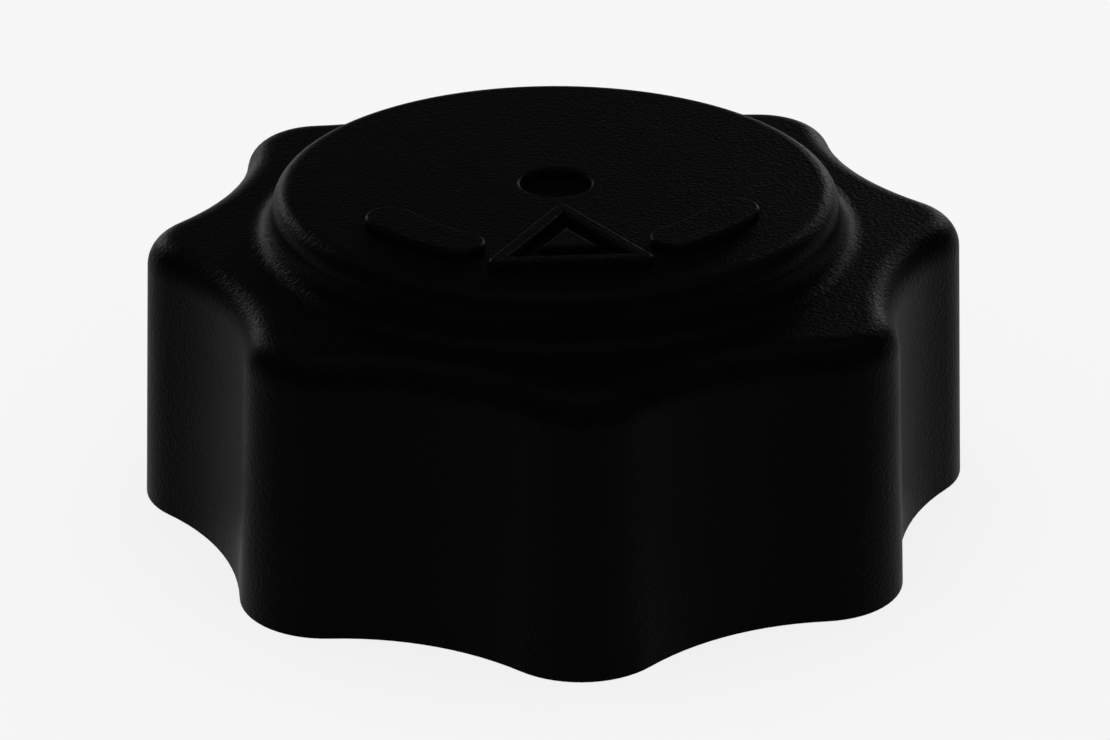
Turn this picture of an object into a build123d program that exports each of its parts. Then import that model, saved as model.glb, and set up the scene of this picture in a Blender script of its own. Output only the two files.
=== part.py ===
from build123d import *
from math import atan2, cos, degrees, radians, sin
import os

os.makedirs("parts", exist_ok=True)

# Screw cap of a coolant tank, with the pressure and vacuum valves that hang inside it.
# The origin is the middle of the rim, +Z points up through the crown, and one lobe and
# the raised triangle face -Y. All sizes are in millimetres.

# Valve housing that dips into the neck
body_radius = 16.2
body_wall = 2.0
housing_lift = 3.5
housing_height = 13.6
flange_thickness = 1.6
floor_thickness = 1.8
lead_chamfer = 1.0
seat_radius = 9.4
seat_width = 0.8
seat_height = 0.8
seat_inset = 1.0

# Seals of the housing
gasket_thickness = 1.5
gasket_inset = 0.5
o_ring_section = 1.8
o_ring_height = 6.2
groove_depth = 1.0
groove_width = 2.4

# Room for the neck round the housing, and the thread that screws onto it
neck_room = 6.0
thread_height = 1.2
thread_pitch = 4.0
thread_turns = 2.0
thread_first_z = 3.8
thread_root_width = 2.4
thread_crest_width = 1.0
thread_sink = 0.5
mouth_chamfer = 0.8

# Clearances
running_gap = 0.3
fixed_gap = 0.1
thread_pass_gap = 0.7

# Cap walls
top_wall = 2.0
side_wall = 2.2
sleeve_wall = 2.2
flute_wall = 1.8
crown_side_wall = 2.8
pocket_rib_width = 1.2
pocket_rib_recess = 1.5
pocket_draft = 1.6
ceiling_rib_width = 1.4
ceiling_rib_inset = 1.9

# Cap outside
lobe_count = 8
lobe_rise = 3.6
lobe_radius = 6.5
draft_angle = 3.0
shoulder_round = 2.3
shoulder_width = 6.5
crown_rise = 3.4
crown_round = 1.5
crown_foot_round = 1.8

# Gate dimple and raised marks on the crown
dimple_radius = 2.6
dimple_depth = 0.8
dimple_round = 0.35
mark_height = 0.8
mark_round = 0.3
triangle_apex = 5.3
triangle_height = 10.7
triangle_stroke = 1.1
triangle_corner = 0.6
island_height = 3.6
arc_mark_radius = 14.3
arc_mark_width = 3.6
arc_mark_start = 32.0
arc_mark_end = 59.5

# Snap collar under the crown, which the valve insert hangs in and turns in
collar_wall = 1.6
collar_slots = 6
collar_slot_width = 2.2
hook_height = 0.9
hook_lead = 0.4
bead_headroom = 0.7
bead_height = 1.2
bead_reach = 0.8
bead_chamfer = 0.4

# Housing lid with its spring dome
dome_wall = 1.5
dome_roof = 1.2
dome_height = 3.1
dome_side_gap = 0.7
dome_vent_radius = 1.5
dome_gussets = 6
gusset_width = 1.0
gusset_reach = 3.4
gusset_height = 1.5
lid_ledge = 1.4
lid_thickness = 1.5
lid_vent_radius = 0.9

# Pressure valve and its spring
plate_thickness = 1.5
plate_rim = 0.6
plate_lugs = 4
plate_lug_width = 2.4
spring_ring_wall = 0.8
spring_ring_height = 1.2
seal_overlap = 1.2
seal_thickness = 1.4
rivet_bore = 3.0
rivet_wall = 0.6
rivet_flange_overlap = 1.2
rivet_flange_thickness = 0.6
rivet_flare_thickness = 0.5
spring_mean_radius = 7.0
spring_wire = 1.4
spring_turns = 4.0
wire_sides = 6

# Vacuum valve and its spring
vacuum_seat_width = 1.8
vacuum_head_thickness = 1.0
vacuum_seal_thickness = 0.8
stem_radius = 1.2
stem_fins = 4
stem_fin_width = 0.8
stem_fin_height = 6.0
stem_barb = 0.4
stem_tip_height = 0.8
retainer_thickness = 1.0
vacuum_spring_inset = 0.9
vacuum_spring_wire = 0.5
vacuum_spring_length = 3.8
vacuum_spring_turns = 2.5
vacuum_spring_margin = 0.4

# Heights that follow, from the rim up
housing_bottom = housing_lift
housing_top = housing_bottom + housing_height
floor_top = housing_bottom + floor_thickness
seat_top = floor_top + seat_height
groove_middle = housing_bottom + o_ring_height
flange_bottom = housing_top - flange_thickness
lid_bottom = housing_top - lid_thickness
bead_bottom = housing_top + dome_height
bead_top = bead_bottom + bead_height
dome_under = bead_top - dome_roof
hook_top = bead_bottom - running_gap
hook_bottom = hook_top - hook_height
ceiling_rib_bottom = housing_top + running_gap
crown_under = bead_top + bead_headroom
cap_height = crown_under + top_wall
skirt_height = cap_height - crown_rise
shoulder_under = skirt_height - top_wall
plate_bottom = seat_top + seal_thickness
plate_top = plate_bottom + plate_thickness
rivet_bottom = seat_top - rivet_flange_thickness
rivet_top = plate_top + rivet_flare_thickness
vacuum_head_top = rivet_bottom - vacuum_seal_thickness
vacuum_head_bottom = vacuum_head_top - vacuum_head_thickness
retainer_bottom = rivet_top + vacuum_spring_length
retainer_top = retainer_bottom + retainer_thickness

# Width of the thread where its flanks end inside the sleeve's wall
flank_spread = (thread_root_width - thread_crest_width) / thread_height
thread_sunk_width = thread_root_width + flank_spread * thread_sink

# Radii that follow, from the middle out
rivet_radius = rivet_bore + rivet_wall
vacuum_head_radius = rivet_bore + vacuum_seat_width
rivet_flange_radius = vacuum_head_radius + rivet_flange_overlap
vacuum_spring_radius = rivet_bore + vacuum_spring_inset
vacuum_spring_land = vacuum_spring_radius + vacuum_spring_wire / 2 + vacuum_spring_margin
spring_ring_inner = spring_mean_radius + spring_wire / 2 + running_gap
dome_radius = spring_mean_radius + spring_wire / 2 + dome_side_gap + dome_wall
bead_radius = dome_radius + bead_reach
hook_radius = dome_radius + running_gap
collar_inner = bead_radius + running_gap
collar_outer = collar_inner + collar_wall
port_radius = seat_radius - seat_width / 2 - seat_inset
seal_radius = seat_radius + seat_width / 2 + seal_overlap
plate_radius = seal_radius + plate_rim
chamber_radius = body_radius - body_wall
lid_radius = chamber_radius + lid_ledge
groove_radius = body_radius - groove_depth
thread_crest_radius = body_radius + neck_room
thread_root_radius = thread_crest_radius + thread_height
flange_radius = thread_crest_radius - thread_pass_gap
sleeve_radius = thread_root_radius + sleeve_wall
valley_radius = sleeve_radius + flute_wall
tip_radius = valley_radius + lobe_rise
crown_radius = valley_radius - shoulder_width


def lobed_outline():
    """Rounded lobes joined by hollow flutes, each arc tangent to the next."""
    half_step = radians(180 / lobe_count)
    lobe_centre = tip_radius - lobe_radius
    flute_radius = (
        lobe_radius**2 - valley_radius**2 - lobe_centre**2
        + 2 * lobe_centre * valley_radius * cos(half_step)
    ) / (2 * (valley_radius - lobe_radius) - 2 * lobe_centre * cos(half_step))
    flute_centre = valley_radius + flute_radius
    lobe_half_angle = degrees(
        atan2(
            flute_centre * sin(half_step),
            flute_centre * cos(half_step) - lobe_centre,
        )
    )
    step = 360 / lobe_count
    for i in range(lobe_count):
        lobe = -90 + i * step
        flute = lobe + step / 2
        CenterArc(
            (lobe_centre * cos(radians(lobe)), lobe_centre * sin(radians(lobe))),
            lobe_radius,
            lobe - lobe_half_angle,
            2 * lobe_half_angle,
        )
        CenterArc(
            (flute_centre * cos(radians(flute)), flute_centre * sin(radians(flute))),
            flute_radius,
            lobe + lobe_half_angle + 180,
            step - 2 * lobe_half_angle,
        )


def triangle_sketch(height, stroke_inset):
    """Equilateral triangle that points to the axis, drawn in by stroke_inset on each side."""
    middle = triangle_apex + triangle_height * 2 / 3
    with Locations((0, -middle)):
        RegularPolygon(height * 2 / 3 - 2 * stroke_inset, 3, rotation=90)


# Moulded cap shell: lobed skirt, raised crown, neck sleeve with its thread, snap collar
with BuildPart() as cap_shell:
    with BuildSketch():
        with BuildLine():
            lobed_outline()
        make_face()
    extrude(amount=skirt_height, taper=draft_angle)
    fillet(cap_shell.edges().group_by(Axis.Z)[-1], shoulder_round)

    with BuildSketch(Plane.XY.offset(skirt_height)):
        Circle(crown_radius)
    extrude(amount=crown_rise, taper=draft_angle)
    crown_edges = cap_shell.edges().filter_by(GeomType.CIRCLE).filter_by(
        lambda e: abs(e.radius - crown_radius) < 1e-3
    )
    fillet(crown_edges.sort_by(Axis.Z)[0], crown_foot_round)
    fillet(cap_shell.edges().group_by(Axis.Z)[-1], crown_round)

    # Gate dimple in the middle of the crown
    with BuildSketch(Plane.XY.offset(cap_height)):
        Circle(dimple_radius)
    extrude(amount=-dimple_depth, mode=Mode.SUBTRACT)
    dimple_edges = cap_shell.edges().filter_by(GeomType.CIRCLE).filter_by(
        lambda e: abs(e.radius - dimple_radius) < 1e-3
    )
    fillet(dimple_edges.sort_by(Axis.Z)[-1], dimple_round)

    # Plain raised marks: a triangle frame with a small triangle in it, and two arcs
    with BuildSketch(Plane.XY.offset(cap_height)) as marks:
        triangle_sketch(triangle_height, 0)
        fillet(marks.vertices(), triangle_corner)
        with BuildSketch(mode=Mode.SUBTRACT):
            triangle_sketch(triangle_height, triangle_stroke)
        with BuildSketch():
            triangle_sketch(island_height, 0)
        for start in (-90 + arc_mark_start, -90 - arc_mark_end):
            with BuildSketch():
                arc_line = CenterArc((0, 0), arc_mark_radius, start, arc_mark_end - arc_mark_start)
                SlotArc(arc_line, arc_mark_width)
    extrude(amount=mark_height)
    fillet(cap_shell.edges().group_by(Axis.Z)[-1], mark_round)

    # Room for the neck and the valve insert, with a lead-in at the mouth
    with BuildSketch(Plane.XZ):
        with BuildLine():
            Polyline(
                (0, 0),
                (thread_root_radius + mouth_chamfer, 0),
                (thread_root_radius, mouth_chamfer),
                (thread_root_radius, shoulder_under),
                (crown_radius - crown_side_wall, shoulder_under),
                (crown_radius - crown_side_wall, crown_under),
                (0, crown_under),
                close=True,
            )
        make_face()
    revolve(axis=Axis.Z, mode=Mode.SUBTRACT)

    # Hollow lobes round the sleeve, each split by a rib that stops short of the rim
    with BuildSketch():
        with BuildLine():
            lobed_outline()
        make_face()
        offset(amount=-side_wall, kind=Kind.INTERSECTION)
        Circle(sleeve_radius, mode=Mode.SUBTRACT)
        with PolarLocations(sleeve_radius, lobe_count, start_angle=-90):
            Rectangle(2 * lobe_radius, pocket_rib_width, mode=Mode.SUBTRACT)
    extrude(amount=shoulder_under, taper=pocket_draft, mode=Mode.SUBTRACT)
    with BuildSketch():
        with BuildLine():
            lobed_outline()
        make_face()
        offset(amount=-side_wall, kind=Kind.INTERSECTION)
        Circle(sleeve_radius, mode=Mode.SUBTRACT)
    extrude(amount=pocket_rib_recess, taper=pocket_draft, mode=Mode.SUBTRACT)

    # Ribs under the ceiling, which press on the flange of the insert
    rib_inner = collar_outer + ceiling_rib_inset
    for i in range(lobe_count):
        with BuildSketch(Plane.XZ.rotated((0, 0, i * 360 / lobe_count))):
            with BuildLine():
                Polyline(
                    (rib_inner, ceiling_rib_bottom),
                    (thread_root_radius + sleeve_wall / 2, ceiling_rib_bottom),
                    (thread_root_radius + sleeve_wall / 2, shoulder_under + top_wall / 2),
                    (crown_radius - crown_side_wall / 2, shoulder_under + top_wall / 2),
                    (crown_radius - crown_side_wall / 2, crown_under + top_wall / 4),
                    (rib_inner, crown_under + top_wall / 4),
                    close=True,
                )
            make_face()
        extrude(amount=ceiling_rib_width / 2, both=True)

    # Snap collar with hooks, slotted into fingers
    with BuildSketch(Plane.XZ):
        with BuildLine():
            Polyline(
                (collar_outer, crown_under + top_wall / 4),
                (collar_outer, hook_bottom),
                (collar_inner, hook_bottom),
                (hook_radius, hook_bottom + hook_lead),
                (hook_radius, hook_top),
                (collar_inner, hook_top),
                (collar_inner, crown_under + top_wall / 4),
                close=True,
            )
        make_face()
    revolve(axis=Axis.Z)
    with BuildSketch(Plane.XY.offset(hook_bottom)):
        with PolarLocations((hook_radius + collar_outer) / 2, collar_slots):
            Rectangle(2 * collar_wall + bead_reach, collar_slot_width)
    extrude(amount=crown_under - hook_bottom, mode=Mode.SUBTRACT)

    # Thread on the inside of the sleeve
    with BuildLine() as thread_path:
        Helix(
            thread_pitch,
            thread_turns * thread_pitch,
            thread_root_radius,
            center=(0, 0, thread_first_z),
        )
    thread_plane = Plane(
        origin=thread_path.line @ 0, x_dir=(1, 0, 0), z_dir=thread_path.line % 0
    )
    with BuildSketch(thread_plane):
        with BuildLine():
            Polyline(
                (thread_sink, -thread_sunk_width / 2),
                (thread_sink, thread_sunk_width / 2),
                (-thread_height, thread_crest_width / 2),
                (-thread_height, -thread_crest_width / 2),
                close=True,
            )
        make_face()
    sweep(path=thread_path.line, is_frenet=True)
cap_shell.part.label = "cap_shell"
export_step(cap_shell.part, "parts/cap_shell.step")

# Valve housing: a cup with a flange, a seal groove and the seat of the pressure valve
with BuildPart() as valve_housing:
    with BuildSketch(Plane.XZ):
        with BuildLine():
            Polyline(
                (port_radius, housing_bottom),
                (body_radius - lead_chamfer, housing_bottom),
                (body_radius, housing_bottom + lead_chamfer),
                (body_radius, groove_middle - groove_width / 2),
                (groove_radius, groove_middle - groove_width / 2),
                (groove_radius, groove_middle + groove_width / 2),
                (body_radius, groove_middle + groove_width / 2),
                (body_radius, flange_bottom),
                (flange_radius, flange_bottom),
                (flange_radius, housing_top),
                (lid_radius + fixed_gap, housing_top),
                (lid_radius + fixed_gap, lid_bottom),
                (chamber_radius, lid_bottom),
                (chamber_radius, floor_top),
                (seat_radius + seat_width / 2, floor_top),
                (seat_radius + seat_width / 2, seat_top),
                (seat_radius - seat_width / 2, seat_top),
                (seat_radius - seat_width / 2, floor_top),
                (port_radius, floor_top),
                close=True,
            )
        make_face()
    revolve(axis=Axis.Z)
valve_housing.part.label = "valve_housing"
export_step(valve_housing.part, "parts/valve_housing.step")

# Lid of the housing: a vented disc with the spring dome, its bead and its gussets
with BuildPart() as housing_lid:
    with BuildSketch(Plane.XZ):
        with BuildLine():
            Polyline(
                (dome_vent_radius, bead_top),
                (bead_radius - bead_chamfer, bead_top),
                (bead_radius, bead_top - bead_chamfer),
                (bead_radius, bead_bottom),
                (dome_radius, bead_bottom),
                (dome_radius, housing_top),
                (lid_radius, housing_top),
                (lid_radius, lid_bottom),
                (dome_radius - dome_wall, lid_bottom),
                (dome_radius - dome_wall, dome_under),
                (dome_vent_radius, dome_under),
                close=True,
            )
        make_face()
    revolve(axis=Axis.Z)
    with Locations((0, 0, housing_top)):
        with PolarLocations((chamber_radius + dome_radius) / 2, dome_gussets):
            Hole(lid_vent_radius, lid_thickness)
    for i in range(dome_gussets):
        with BuildSketch(Plane.XZ.rotated((0, 0, (i + 0.5) * 360 / dome_gussets))):
            with BuildLine():
                Polyline(
                    (dome_radius - dome_wall / 2, housing_top - lid_thickness / 2),
                    (dome_radius + gusset_reach, housing_top - lid_thickness / 2),
                    (dome_radius + gusset_reach, housing_top),
                    (dome_radius, housing_top + gusset_height),
                    (dome_radius - dome_wall / 2, housing_top + gusset_height),
                    close=True,
                )
            make_face()
        extrude(amount=gusset_width / 2, both=True)
housing_lid.part.label = "housing_lid"
export_step(housing_lid.part, "parts/housing_lid.step")

# Flat gasket under the flange, which meets the top of the neck
with BuildPart() as neck_gasket:
    with BuildSketch(Plane.XY.offset(flange_bottom - gasket_thickness)):
        Circle(flange_radius - gasket_inset)
        Circle(body_radius + fixed_gap, mode=Mode.SUBTRACT)
    extrude(amount=gasket_thickness)
neck_gasket.part.label = "neck_gasket"
export_step(neck_gasket.part, "parts/neck_gasket.step")

# O-ring in the groove, which seals against the bore of the neck
with BuildPart() as housing_o_ring:
    with BuildSketch(Plane.XZ):
        with Locations((groove_radius + fixed_gap / 2 + o_ring_section / 2, groove_middle)):
            Circle(o_ring_section / 2)
    revolve(axis=Axis.Z)
housing_o_ring.part.label = "housing_o_ring"
export_step(housing_o_ring.part, "parts/housing_o_ring.step")

# Plate of the pressure valve, guided by lugs and crowned by a ring that centres the spring
with BuildPart() as pressure_plate:
    with BuildSketch(Plane.XY.offset(plate_bottom)):
        Circle(plate_radius)
        lug_length = chamber_radius - running_gap - plate_radius / 2
        with PolarLocations(plate_radius / 2 + lug_length / 2, plate_lugs):
            Rectangle(lug_length, plate_lug_width)
        Circle(chamber_radius - running_gap, mode=Mode.INTERSECT)
        Circle(rivet_radius + fixed_gap, mode=Mode.SUBTRACT)
    extrude(amount=plate_thickness)
    with BuildSketch(Plane.XY.offset(plate_top)):
        Circle(spring_ring_inner + spring_ring_wall)
        Circle(spring_ring_inner, mode=Mode.SUBTRACT)
    extrude(amount=spring_ring_height)
pressure_plate.part.label = "pressure_plate"
export_step(pressure_plate.part, "parts/pressure_plate.step")

# Rubber disc that closes the pressure valve on its seat
with BuildPart() as plate_seal:
    with BuildSketch(Plane.XY.offset(seat_top)):
        Circle(seal_radius)
        Circle(rivet_radius + fixed_gap, mode=Mode.SUBTRACT)
    extrude(amount=seal_thickness)
plate_seal.part.label = "plate_seal"
export_step(plate_seal.part, "parts/plate_seal.step")

# Hollow rivet that holds the rubber disc to the plate and is the seat of the vacuum valve
with BuildPart() as seal_rivet:
    with BuildSketch(Plane.XZ):
        with BuildLine():
            Polyline(
                (rivet_bore, rivet_bottom),
                (rivet_flange_radius, rivet_bottom),
                (rivet_flange_radius, seat_top),
                (rivet_radius, seat_top),
                (rivet_radius, plate_top),
                (vacuum_spring_land, plate_top),
                (vacuum_spring_land, rivet_top),
                (rivet_bore, rivet_top),
                close=True,
            )
        make_face()
    revolve(axis=Axis.Z)
seal_rivet.part.label = "seal_rivet"
export_step(seal_rivet.part, "parts/seal_rivet.step")


def coil_spring(mean_radius, wire, turns, bottom, top):
    """Wire coil between two heights, its end coils ground flat there."""
    with BuildPart() as coil:
        with BuildLine() as coil_path:
            Helix((top - bottom) / turns, top - bottom, mean_radius, center=(0, 0, bottom))
        with BuildSketch(
            Plane(origin=coil_path.line @ 0, x_dir=(1, 0, 0), z_dir=coil_path.line % 0)
        ):
            RegularPolygon(wire / 2, wire_sides)
        sweep(path=coil_path.line, is_frenet=True)
        split(bisect_by=Plane.XY.offset(bottom), keep=Keep.TOP)
        split(bisect_by=Plane.XY.offset(top), keep=Keep.BOTTOM)
    return coil.part


# Pressure spring, between the plate and the roof of the dome
pressure_spring = coil_spring(
    spring_mean_radius, spring_wire, spring_turns, plate_top, dome_under
)
pressure_spring.label = "pressure_spring"
export_step(pressure_spring, "parts/pressure_spring.step")

# Stem of the vacuum valve: a head, fins that guide it in the rivet, and a barbed tip
with BuildPart() as vacuum_stem:
    with BuildSketch(Plane.XY.offset(vacuum_head_bottom)):
        Circle(vacuum_head_radius)
    extrude(amount=vacuum_head_thickness)
    with BuildSketch(Plane.XY.offset(vacuum_head_top)):
        Circle(stem_radius)
    extrude(amount=retainer_top - vacuum_head_top)
    with BuildSketch(Plane.XY.offset(vacuum_head_top)):
        with PolarLocations(0, stem_fins):
            Rectangle(
                rivet_bore - running_gap, stem_fin_width, align=(Align.MIN, Align.CENTER)
            )
        Circle(rivet_bore - running_gap, mode=Mode.INTERSECT)
    extrude(amount=stem_fin_height)
    with BuildSketch(Plane.XY.offset(retainer_top)):
        Circle(stem_radius + stem_barb)
    extrude(amount=stem_tip_height)
    chamfer(vacuum_stem.edges().group_by(Axis.Z)[-1], stem_barb)
vacuum_stem.part.label = "vacuum_stem"
export_step(vacuum_stem.part, "parts/vacuum_stem.step")

# Rubber washer on the head of the stem
with BuildPart() as vacuum_seal:
    with BuildSketch(Plane.XY.offset(vacuum_head_top)):
        Circle(vacuum_head_radius)
        Circle(rivet_bore - running_gap + fixed_gap, mode=Mode.SUBTRACT)
    extrude(amount=vacuum_seal_thickness)
vacuum_seal.part.label = "vacuum_seal"
export_step(vacuum_seal.part, "parts/vacuum_seal.step")

# Disc that the barbed tip holds on the stem, for the vacuum spring to lift
with BuildPart() as spring_retainer:
    with BuildSketch(Plane.XY.offset(retainer_bottom)):
        Circle(vacuum_spring_land)
        Circle(stem_radius + fixed_gap, mode=Mode.SUBTRACT)
    extrude(amount=retainer_thickness)
spring_retainer.part.label = "spring_retainer"
export_step(spring_retainer.part, "parts/spring_retainer.step")

# Vacuum spring, between the flare of the rivet and the retainer
vacuum_spring = coil_spring(
    vacuum_spring_radius, vacuum_spring_wire, vacuum_spring_turns, rivet_top, retainer_bottom
)
vacuum_spring.label = "vacuum_spring"
export_step(vacuum_spring, "parts/vacuum_spring.step")
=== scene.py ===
import math

import bmesh
import bpy
from mathutils import Matrix, Vector


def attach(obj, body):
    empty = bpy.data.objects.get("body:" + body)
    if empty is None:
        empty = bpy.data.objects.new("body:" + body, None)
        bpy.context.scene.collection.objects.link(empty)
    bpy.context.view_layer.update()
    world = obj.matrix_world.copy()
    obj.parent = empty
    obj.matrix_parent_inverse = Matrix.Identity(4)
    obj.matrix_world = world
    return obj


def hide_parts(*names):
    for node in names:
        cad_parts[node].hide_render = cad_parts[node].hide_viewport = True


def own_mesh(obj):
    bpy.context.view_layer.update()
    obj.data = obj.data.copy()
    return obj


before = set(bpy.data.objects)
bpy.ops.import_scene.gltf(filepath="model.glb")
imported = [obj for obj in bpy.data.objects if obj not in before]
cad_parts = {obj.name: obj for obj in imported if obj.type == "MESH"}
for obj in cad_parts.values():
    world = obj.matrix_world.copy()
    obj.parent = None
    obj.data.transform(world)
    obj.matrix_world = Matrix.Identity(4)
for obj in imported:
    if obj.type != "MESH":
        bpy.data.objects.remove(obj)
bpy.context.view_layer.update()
mm = 0.001  # the sizes below are millimetres times this
print("frame loaded:", len(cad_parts), "nodes")


class Wire:
    # a node's output; an expression on wires adds the Math nodes it needs
    def __init__(self, finish, socket):
        self.finish = finish
        self.socket = socket

    def math(self, operation, first, second=0.0):
        return self.finish.add("ShaderNodeMath", {"operation": operation}, {0: first, 1: second})

    def __add__(self, other):
        return self.math("ADD", self, other)

    def __radd__(self, other):
        return self.math("ADD", other, self)

    def __sub__(self, other):
        return self.math("SUBTRACT", self, other)

    def __rsub__(self, other):
        return self.math("SUBTRACT", other, self)

    def __mul__(self, other):
        return self.math("MULTIPLY", self, other)

    def __rmul__(self, other):
        return self.math("MULTIPLY", other, self)


class Finish:
    # the nodes of one material or world; add() makes any node
    def __init__(self, owner):
        self.owner = owner
        owner.use_nodes = True
        self.tree = owner.node_tree
        self.tree.nodes.clear()

    def add(self, kind, settings=None, sockets=None, output=0):
        node = self.tree.nodes.new(kind)
        for name, value in (settings or {}).items():
            setattr(node, name, value)
        for name, value in (sockets or {}).items():
            if isinstance(value, Wire):
                self.tree.links.new(value.socket, node.inputs[name])
            else:
                node.inputs[name].default_value = value
        return Wire(self, node.outputs[output]) if node.outputs else None

    def place(self):
        return self.add("ShaderNodeTexCoord", output="Object")

    def noise(self, size, detail=2.0, stretch=(1, 1, 1)):
        spot = self.add("ShaderNodeVectorMath", {"operation": "MULTIPLY"}, {0: self.place(), 1: stretch})
        return self.add(
            "ShaderNodeTexNoise", {}, {"Vector": spot, "Scale": 1 / size, "Detail": detail}
        )

    def cells(self, size, softness):
        return self.add(
            "ShaderNodeTexVoronoi",
            {"feature": "SMOOTH_F1"},
            {"Vector": self.place(), "Scale": 1 / size, "Smoothness": softness},
        )

    def rings(self, size, wobble):
        # fine turning marks round the Z axis
        return self.add(
            "ShaderNodeTexWave",
            {"wave_type": "RINGS", "rings_direction": "Z"},
            {"Vector": self.place(), "Scale": 1 / size, "Distortion": wobble, "Detail": 2.0},
        )

    def contrast(self, value, low, high):
        # spreads the part of a value between low and high over 0 to 1
        return self.add(
            "ShaderNodeMapRange",
            {"interpolation_type": "SMOOTHSTEP"},
            {0: value, 1: low, 2: high, 3: 0.0, 4: 1.0},
        )

    def mix(self, factor, first, second):
        return self.add(
            "ShaderNodeMix", {"data_type": "RGBA"}, {0: factor, 6: first, 7: second}, output=2
        )

    def bump(self, height, depth):
        return self.add("ShaderNodeBump", {}, {"Distance": depth, "Height": height})

    def surface(self, sockets):
        shader = self.add("ShaderNodeBsdfPrincipled", {}, sockets)
        self.add("ShaderNodeOutputMaterial", {}, {"Surface": shader})
        return self.owner


def newFinish(name):
    return Finish(bpy.data.materials.new(name))


shellLook = {
    "colour": (0.0010, 0.0010, 0.0011, 1),
    "paleColour": (0.0024, 0.0024, 0.0025, 1),
    "roughness": 0.42,
    "roughnessSwing": 0.12,
    "specular": 0.015,  # low, because the photograph shows almost no sheen on the flat faces
    "grainSize": 0.20 * mm,
    "pitSize": 0.32 * mm,
    "pitSoftness": 0.5,
    "pitShare": 0.4,
    "grainDepth": 0.065 * mm,
    "cloudSize": 6 * mm,
}


def blackPlastic(look):
    # spark-eroded grain of the mould: fine noise with shallow pits
    made = newFinish("blackPlastic")
    grain = made.noise(look["grainSize"], detail=1.0)
    pits = made.cells(look["pitSize"], look["pitSoftness"])
    height = (1 - look["pitShare"]) * grain + look["pitShare"] * pits
    cloud = made.noise(look["cloudSize"], detail=3.0)
    return made.surface(
        {
            "Base Color": made.mix(grain * cloud, look["colour"], look["paleColour"]),
            "Roughness": look["roughness"] + look["roughnessSwing"] * (grain + cloud - 1.0),
            "Specular IOR Level": look["specular"],
            "Normal": made.bump(height, look["grainDepth"]),
        }
    )


nylonLook = {
    "colour": (0.62, 0.59, 0.50, 1),
    "paleColour": (0.70, 0.67, 0.58, 1),
    "roughness": 0.40,
    "roughnessSwing": 0.14,
    "glow": 0.08,
    "glowDepth": 1.2 * mm,
    "cloudSize": 3.5 * mm,
    "grainSize": 0.25 * mm,
    "grainDepth": 0.010 * mm,
}


def naturalNylon(look):
    made = newFinish("naturalNylon")
    cloud = made.noise(look["cloudSize"], detail=3.0)
    grain = made.noise(look["grainSize"])
    return made.surface(
        {
            "Base Color": made.mix(cloud, look["colour"], look["paleColour"]),
            "Roughness": look["roughness"] + look["roughnessSwing"] * (cloud - 0.5),
            "Subsurface Weight": look["glow"],
            "Subsurface Scale": look["glowDepth"],
            "Normal": made.bump(grain, look["grainDepth"]),
        }
    )


rubberLook = {
    "colour": (0.014, 0.014, 0.015, 1),
    "bloomColour": (0.030, 0.030, 0.031, 1),
    "roughness": 0.66,
    "roughnessSwing": 0.16,
    "specular": 0.35,
    "bloomSize": 2.4 * mm,
    "bloomEdges": (0.4, 0.75),  # noise values between which the bloom sets in
    "grainSize": 0.12 * mm,
    "grainDepth": 0.012 * mm,
}


def sealRubber(look):
    # matt rubber with a faint pale bloom in patches
    made = newFinish("sealRubber")
    low, high = look["bloomEdges"]
    bloom = made.contrast(made.noise(look["bloomSize"], detail=4.0), low, high)
    grain = made.noise(look["grainSize"])
    return made.surface(
        {
            "Base Color": made.mix(bloom, look["colour"], look["bloomColour"]),
            "Roughness": look["roughness"] + look["roughnessSwing"] * (bloom - 0.5),
            "Specular IOR Level": look["specular"],
            "Normal": made.bump(grain, look["grainDepth"]),
        }
    )


metalLooks = {
    "springSteel": {
        "colour": (0.40, 0.40, 0.39, 1),
        "paleColour": (0.58, 0.57, 0.55, 1),
        "roughness": 0.32,
        "cloudSize": 1.6 * mm,
        "grainSize": 0.20 * mm,
        "grainStretch": (1, 1, 5),
        "grainDepth": 0.006 * mm,
    },
    "plateSteel": {
        "colour": (0.50, 0.51, 0.53, 1),
        "paleColour": (0.64, 0.65, 0.66, 1),
        "roughness": 0.38,
        "cloudSize": 3.0 * mm,
        "grainSize": 0.30 * mm,
        "grainStretch": (1, 6, 1),
        "grainDepth": 0.006 * mm,
    },
    "rivetBrass": {
        "colour": (0.60, 0.42, 0.18, 1),
        "paleColour": (0.80, 0.62, 0.33, 1),
        "roughness": 0.30,
        "cloudSize": 1.4 * mm,
        "ringSize": 0.9 * mm,
        "ringWobble": 0.6,
        "grainDepth": 0.004 * mm,
    },
}


metalSwings = {"cloud": 0.16, "marks": 0.08}  # how far the roughness follows each pattern


def bareMetal(name):
    # drawn, rolled or turned metal: cloudy tarnish under fine tool marks
    look = metalLooks[name]
    made = newFinish(name)
    cloud = made.noise(look["cloudSize"], detail=4.0)
    if "ringSize" in look:
        marks = made.rings(look["ringSize"], look["ringWobble"])
    else:
        marks = made.noise(look["grainSize"], detail=3.0, stretch=look["grainStretch"])
    swing = metalSwings["cloud"] * (cloud - 0.5) + metalSwings["marks"] * (marks - 0.5)
    return made.surface(
        {
            "Base Color": made.mix(cloud, look["colour"], look["paleColour"]),
            "Metallic": 1.0,
            "Roughness": look["roughness"] + swing,
            "Normal": made.bump(marks, look["grainDepth"]),
        }
    )


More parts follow.
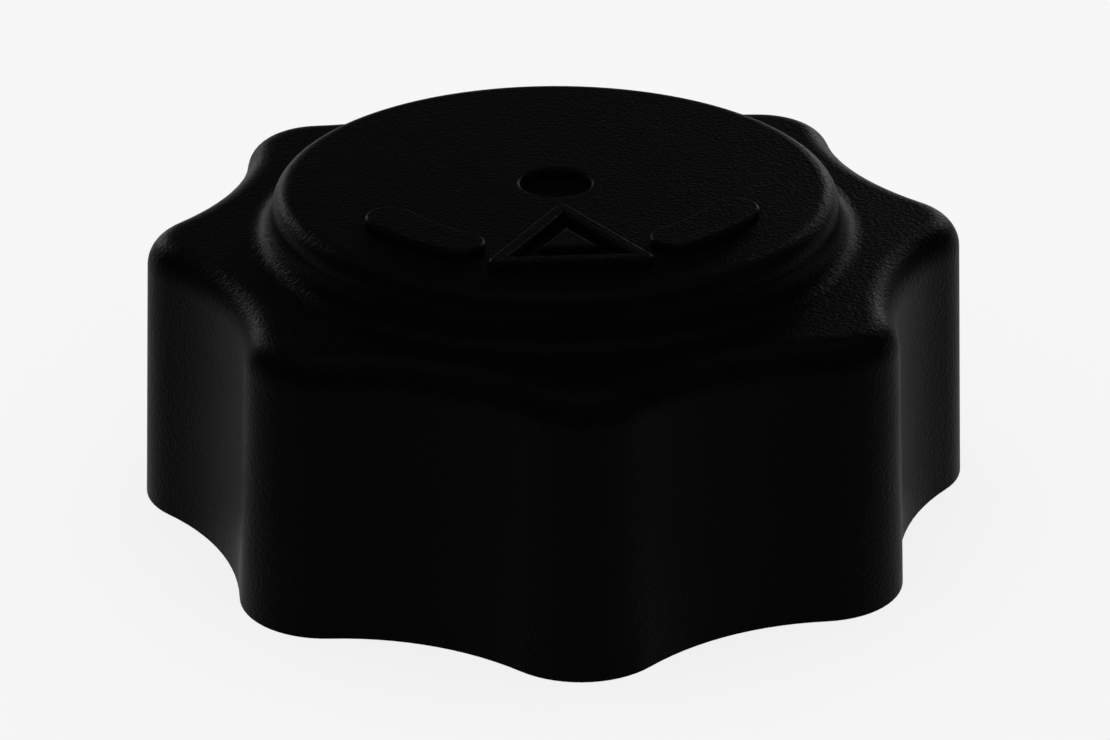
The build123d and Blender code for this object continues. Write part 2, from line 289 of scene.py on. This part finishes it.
finishes = {
    "shell_plastic": blackPlastic(shellLook),
    "insert_plastic": naturalNylon(nylonLook),
    "seal_rubber": sealRubber(rubberLook),
    "spring_steel": bareMetal("springSteel"),
    "plate_steel": bareMetal("plateSteel"),
    "rivet_brass": bareMetal("rivetBrass"),
}
nodeFinishes = {
    "cap_shell": "shell_plastic",
    "valve_housing": "insert_plastic",
    "housing_lid": "insert_plastic",
    "neck_gasket": "seal_rubber",
    "housing_o_ring": "seal_rubber",
    "plate_seal": "seal_rubber",
    "vacuum_seal": "seal_rubber",
    "pressure_spring": "spring_steel",
    "vacuum_spring": "spring_steel",
    "pressure_plate": "plate_steel",
    "seal_rivet": "rivet_brass",
    "vacuum_stem": "rivet_brass",
    "spring_retainer": "rivet_brass",
}
for nodeName, slot in nodeFinishes.items():
    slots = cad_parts[nodeName].data.materials
    slots.clear()
    slots.append(finishes[slot])
print("finishes made:", len(finishes))


mergeDistance = 0.0005 * mm
sharpAngle = math.radians(40)
roundSteps = 4  # segments in each rounded corner of a turned profile


def addPiece(name, bm, body, slot, node):
    # a finished mesh takes the place of its CAD node and rides on the same body
    bmesh.ops.remove_doubles(bm, verts=bm.verts, dist=mergeDistance)
    bmesh.ops.recalc_face_normals(bm, faces=bm.faces)
    for face in bm.faces:
        face.smooth = True
    for edge in bm.edges:
        edge.smooth = edge.calc_face_angle(0) < sharpAngle
    mesh = bpy.data.meshes.new(name)
    bm.to_mesh(mesh)
    bm.free()
    mesh.materials.append(finishes[slot])
    piece = bpy.data.objects.new(name, mesh)
    bpy.context.scene.collection.objects.link(piece)
    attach(piece, body)
    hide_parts(node)
    return piece


def turnedPiece(name, shape):
    # rounds the corners of a profile of (radius, height) and turns it round Z
    bm = bmesh.new()
    corners = [bm.verts.new((r * mm, 0, z * mm)) for r, z in shape["profile"]]
    for first, second in zip(corners, corners[1:] + corners[:1]):
        bm.edges.new((first, second))
    bmesh.ops.bevel(
        bm,
        geom=corners,
        offset=shape["rounding"] * mm,
        segments=roundSteps,
        profile=0.5,
        affect="VERTICES",
        material=-1,
        clamp_overlap=True,
    )
    bmesh.ops.spin(
        bm,
        geom=bm.verts[:] + bm.edges[:],
        cent=(0, 0, 0),
        axis=(0, 0, 1),
        angle=2 * math.pi,
        steps=shape["steps"],
        use_merge=True,
        use_duplicate=False,
    )
    addPiece(name, bm, shape["body"], shape["slot"], shape["node"])


turnedShapes = {
    # cup that dips into the neck, with its seal groove, flange and valve seat
    "housing": {
        "node": "valve_housing",
        "body": "insert",
        "slot": "insert_plastic",
        "steps": 160,
        "rounding": 0.22,
        "profile": [
            (8.0, 3.5), (15.2, 3.5), (16.2, 4.5), (16.2, 8.5), (15.2, 8.5), (15.2, 10.9),
            (16.2, 10.9), (16.2, 15.5), (21.5, 15.5), (21.5, 17.1), (15.7, 17.1), (15.7, 15.6),
            (14.2, 15.6), (14.2, 5.3), (9.8, 5.3), (9.8, 6.1), (9.0, 6.1), (9.0, 5.3), (8.0, 5.3),
        ],
    },
    # flat gasket with a raised lip at each edge of its lower face
    "gasket": {
        "node": "neck_gasket",
        "body": "insert",
        "slot": "seal_rubber",
        "steps": 160,
        "rounding": 0.16,
        "profile": [
            (16.3, 14.0), (17.3, 14.0), (17.6, 14.25), (19.7, 14.25), (20.0, 14.0), (21.0, 14.0),
            (21.0, 15.5), (16.3, 15.5),
        ],
    },
    "plateSeal": {
        "node": "plate_seal",
        "body": "pressure_valve",
        "slot": "seal_rubber",
        "steps": 96,
        "rounding": 0.2,
        "profile": [(3.7, 6.1), (11.0, 6.1), (11.0, 7.5), (3.7, 7.5)],
    },
    "rivet": {
        "node": "seal_rivet",
        "body": "pressure_valve",
        "slot": "rivet_brass",
        "steps": 96,
        "rounding": 0.14,
        "profile": [
            (3.0, 5.5), (6.0, 5.5), (6.0, 6.1), (3.6, 6.1), (3.6, 9.0), (4.55, 9.0), (4.55, 9.5),
            (3.0, 9.5),
        ],
    },
    "vacuumSeal": {
        "node": "vacuum_seal",
        "body": "vacuum_valve",
        "slot": "seal_rubber",
        "steps": 96,
        "rounding": 0.12,
        "profile": [(2.8, 4.7), (4.8, 4.7), (4.8, 5.5), (2.8, 5.5)],
    },
    "retainer": {
        "node": "spring_retainer",
        "body": "vacuum_valve",
        "slot": "rivet_brass",
        "steps": 96,
        "rounding": 0.12,
        "profile": [(1.3, 13.3), (4.55, 13.3), (4.55, 14.3), (1.3, 14.3)],
    },
}
for pieceName, shape in turnedShapes.items():
    turnedPiece(pieceName, shape)

oRing = {"middle": (16.15, 9.7), "sectionRadius": 0.9, "around": 24, "steps": 160}


def makeORing(shape):
    bm = bmesh.new()
    radius, height = shape["middle"]
    upright = Matrix.Translation((radius * mm, 0, height * mm)) @ Matrix.Rotation(math.pi / 2, 4, "X")
    bmesh.ops.create_circle(
        bm, segments=shape["around"], radius=shape["sectionRadius"] * mm, matrix=upright
    )
    bmesh.ops.spin(
        bm,
        geom=bm.verts[:] + bm.edges[:],
        cent=(0, 0, 0),
        axis=(0, 0, 1),
        angle=2 * math.pi,
        steps=shape["steps"],
        use_merge=True,
        use_duplicate=False,
    )
    addPiece("oRing", bm, "insert", "seal_rubber", "housing_o_ring")


makeORing(oRing)
print("turned pieces made:", len(turnedShapes) + 1)


springs = {
    "pressureCoil": {
        "node": "pressure_spring",
        "body": "insert",
        "joint": "pressure_lift",
        "meanRadius": 7.0,
        "wire": 1.4,
        "bottom": 9.0,
        "top": 20.2,
        "runs": [(1.0, 1.42), (2.4, 3.34), (1.0, 1.42)],  # turns and pitch, from the bottom up
        "fixedEnd": 20.2,
        "keep": 8.7 / 11.2,
    },
    "vacuumCoil": {
        "node": "vacuum_spring",
        "body": "pressure_valve",
        "joint": "vacuum_drop",
        "meanRadius": 3.9,
        "wire": 0.5,
        "bottom": 9.5,
        "top": 13.3,
        "runs": [(1.0, 0.52), (2.2, 1.07), (1.0, 0.52)],
        "fixedEnd": 9.5,
        "keep": 2.3 / 3.8,
    },
}
coilStepsPerTurn = 64
wireSides = 16
grindTolerance = 0.0001 * mm


def makeCoil(name, shape):
    # the wire starts half sunk under the bottom and ends half above the top, then the ends are ground
    bm = bmesh.new()
    middle = Vector((shape["meanRadius"] * mm, 0, shape["bottom"] * mm))
    upright = Matrix.Translation(middle) @ Matrix.Rotation(math.pi / 2, 4, "X")
    made = bmesh.ops.create_circle(
        bm, segments=wireSides, radius=shape["wire"] / 2 * mm, matrix=upright, cap_ends=True
    )
    last = list({e for v in made["verts"] for e in v.link_edges}) + made["verts"]
    for turns, pitch in shape["runs"]:
        steps = round(turns * coilStepsPerTurn)
        made = bmesh.ops.spin(
            bm,
            geom=last,
            cent=(0, 0, 0),
            axis=(0, 0, 1),
            dvec=(0, 0, turns * pitch / steps * mm),
            angle=turns * 2 * math.pi,
            steps=steps,
        )
        last = [item for item in made["geom_last"] if not isinstance(item, bmesh.types.BMFace)]
    bmesh.ops.holes_fill(bm, edges=[e for e in bm.edges if len(e.link_faces) == 1], sides=wireSides)
    for height, up in ((shape["bottom"], -1), (shape["top"], 1)):
        bmesh.ops.bisect_plane(
            bm,
            geom=bm.verts[:] + bm.edges[:] + bm.faces[:],
            dist=grindTolerance,
            plane_co=(0, 0, height * mm),
            plane_no=(0, 0, up),
            clear_outer=True,
        )
        bmesh.ops.holes_fill(bm, edges=[e for e in bm.edges if len(e.link_faces) == 1])
    coil = addPiece(name, bm, shape["body"], "spring_steel", shape["node"])
    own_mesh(coil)


for pieceName, shape in springs.items():
    makeCoil(pieceName, shape)
print("springs made:", len(springs))


view = {
    "azimuth": -4.0,
    "elevation": 24.97,
    "distance": 0.2641,
    "focalPixels": 3535.6,
    "aimPixel": (555.8, 331.2),  # where the middle of the cap lies in the frame
    "middleHeight": 12.05 * mm,
    "frameSize": (1110, 740),
    "sensor": 36.0,
    "clipping": (0.01, 20),
}


def makeCamera(given):
    turn = math.radians(given["azimuth"])
    lift = math.radians(given["elevation"])
    back = Vector(
        (math.sin(turn) * math.cos(lift), -math.cos(turn) * math.cos(lift), math.sin(lift))
    )
    facing = (-back).to_track_quat("-Z", "Y")
    middle = Vector((0, 0, given["middleHeight"]))
    data = bpy.data.cameras.new("camera")
    data.sensor_width = given["sensor"]
    data.lens = given["focalPixels"] / given["frameSize"][0] * given["sensor"]
    data.clip_start, data.clip_end = given["clipping"]
    camera = bpy.data.objects.new("camera", data)
    bpy.context.scene.collection.objects.link(camera)
    # the middle of the cap isn't in the middle of the frame, so the camera aims beside it
    reach = given["distance"] / given["focalPixels"]
    aside = (given["aimPixel"][0] - given["frameSize"][0] / 2) * reach
    above = (given["frameSize"][1] / 2 - given["aimPixel"][1]) * reach
    aim = middle - facing @ Vector((aside, above, 0))
    spot = middle + back * given["distance"]
    camera.location = spot
    camera.rotation_mode = "QUATERNION"
    camera.rotation_quaternion = (aim - spot).to_track_quat("-Z", "Y")
    bpy.context.scene.camera = camera


makeCamera(view)


studio = {
    "floorSize": 6.0,
    "floorDrop": 0.05 * mm,  # keeps the floor off the flat rim
    "floorColour": (0.88, 0.88, 0.88, 1),
    "seenColour": (0.97, 0.97, 0.97, 1),
    "seenShare": 0.85,
    "ceilingColour": (0.03, 0.03, 0.03, 1),
    "horizonHeight": (0.0, 0.09),  # sines of the angles between which the backdrop darkens
    "worldStrength": 0.55,
    "worldColour": (1, 1, 1, 1),
}


def seenDirectly(made):
    rays = [
        made.add("ShaderNodeLightPath", output=name)
        for name in ("Is Camera Ray", "Is Glossy Ray", "Is Transmission Ray")
    ]
    return rays[0] + rays[1] + rays[2]


def makeFloor(given):
    bm = bmesh.new()
    below = Matrix.Translation((0, 0, -given["floorDrop"]))
    bmesh.ops.create_grid(
        bm, x_segments=1, y_segments=1, size=given["floorSize"] / 2, matrix=below
    )
    mesh = bpy.data.meshes.new("floor")
    bm.to_mesh(mesh)
    bm.free()
    floor = bpy.data.objects.new("floor", mesh)
    bpy.context.scene.collection.objects.link(floor)
    made = newFinish("paleFloor")
    lit = made.add("ShaderNodeBsdfDiffuse", {}, {"Color": given["floorColour"]})
    seen = made.add("ShaderNodeEmission", {}, {"Color": given["seenColour"], "Strength": 1.0})
    share = seenDirectly(made) * given["seenShare"]
    mixed = made.add("ShaderNodeMixShader", {}, {0: share, 1: lit, 2: seen})
    made.add("ShaderNodeOutputMaterial", {}, {"Surface": mixed})
    mesh.materials.append(made.owner)


def makeWorld(given):
    # a pale sweep up to the horizon under a dim ceiling, and an even light from all round
    world = bpy.data.worlds.new("studio")
    bpy.context.scene.world = world
    made = Finish(world)
    direction = made.add("ShaderNodeTexCoord", output="Generated")
    height = made.add("ShaderNodeSeparateXYZ", {}, {0: direction}, output=2)
    low, high = given["horizonHeight"]
    sweep = made.mix(made.contrast(height, low, high), given["seenColour"], given["ceilingColour"])
    seen = made.add("ShaderNodeBackground", {}, {"Color": sweep, "Strength": 1.0})
    lit = made.add(
        "ShaderNodeBackground",
        {},
        {"Color": given["worldColour"], "Strength": given["worldStrength"]},
    )
    mixed = made.add("ShaderNodeMixShader", {}, {0: seenDirectly(made), 1: lit, 2: seen})
    made.add("ShaderNodeOutputWorld", {}, {"Surface": mixed})


lamps = {
    "leftRim": {"spot": (-0.36, 0.76, 0.15), "size": (0.20, 0.14), "power": 0.7},
    "rightRim": {"spot": (0.36, 0.76, 0.15), "size": (0.20, 0.14), "power": 0.7},
    "overhead": {"spot": (0, 0.10, 0.9), "size": (0.9, 0.7), "power": 1.8},
}


def makeLamp(name, given):
    data = bpy.data.lights.new(name, "AREA")
    data.shape = "RECTANGLE"
    data.size, data.size_y = given["size"]
    data.energy = given["power"]
    lamp = bpy.data.objects.new(name, data)
    bpy.context.scene.collection.objects.link(lamp)
    spot = Vector(given["spot"])
    lamp.location = spot
    lamp.rotation_mode = "QUATERNION"
    lamp.rotation_quaternion = (Vector((0, 0, view["middleHeight"])) - spot).to_track_quat("-Z", "Y")


makeFloor(studio)
makeWorld(studio)
for lampName, given in lamps.items():
    makeLamp(lampName, given)
print("camera and studio made")

bpy.context.scene.view_settings.view_transform = "Standard"
